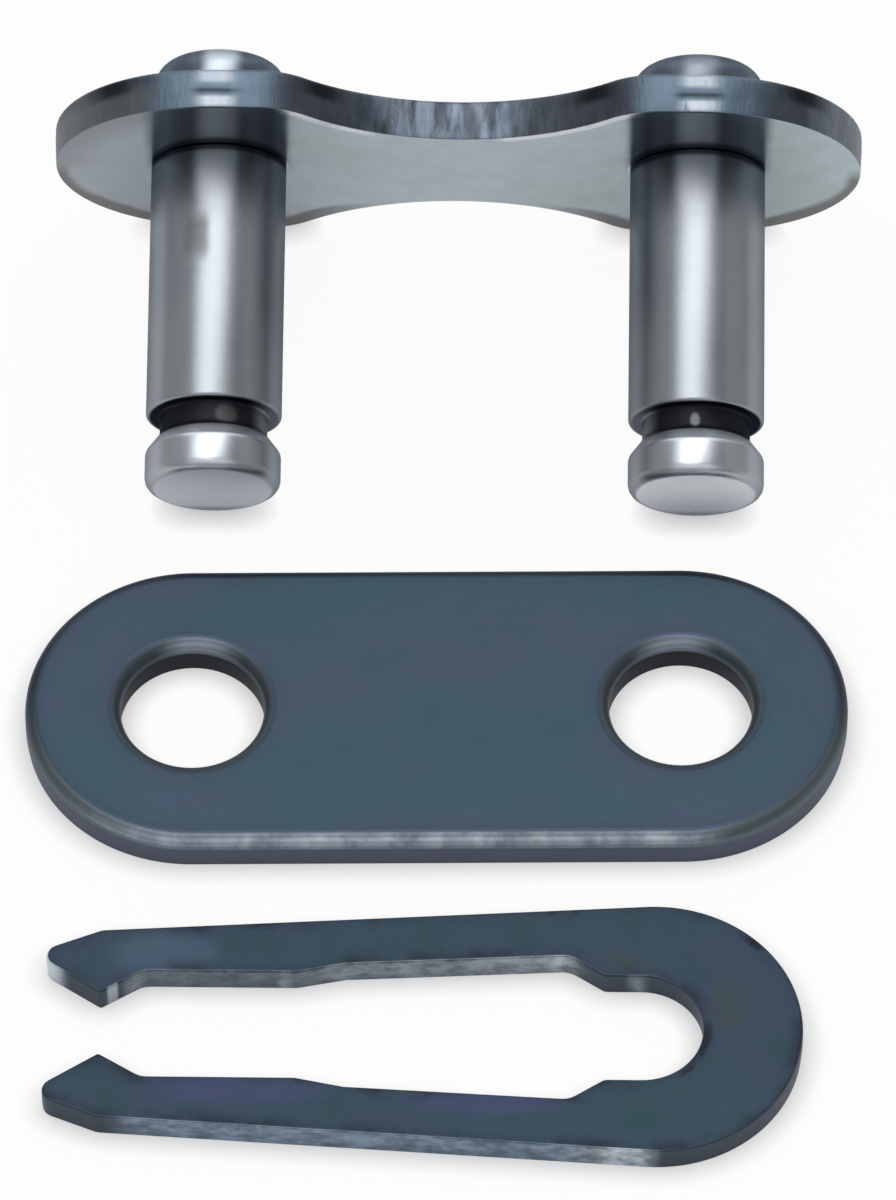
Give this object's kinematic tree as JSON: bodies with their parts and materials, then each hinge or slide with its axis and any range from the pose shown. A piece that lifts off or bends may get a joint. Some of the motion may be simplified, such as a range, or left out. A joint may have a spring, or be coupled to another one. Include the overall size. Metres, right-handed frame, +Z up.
{
  "type": "chain connecting link",
  "caption": "Spring-clip connecting link for roller chain, laid out before fitting: a waisted plate with grooved pins, a straight cover plate and a hooked spring clip.",
  "frame": {"origin": "middle of the bounding box on the surface that the laid-out pieces rest on", "axes": "+X along the pitch from the left pin to the right pin, +Y from the spring clip to the pin link, +Z up from the surface"},
  "size_m": [0.022, 0.032, 0.0086],
  "materials": {
    "plated_plate": "satin plated, sheared edge darker",
    "bright_pin": "bright ground and tumbled",
    "blued_plate": "heat blued, satin",
    "blued_clip": "tempered spring steel, heat blued, satin"
  },
  "bodies": {
    "root": {"outer_plate": "plated_plate", "pin_left": "bright_pin", "pin_right": "bright_pin", "cover_plate": "blued_plate", "spring_clip": "blued_clip"}
  },
  "joints": []
}
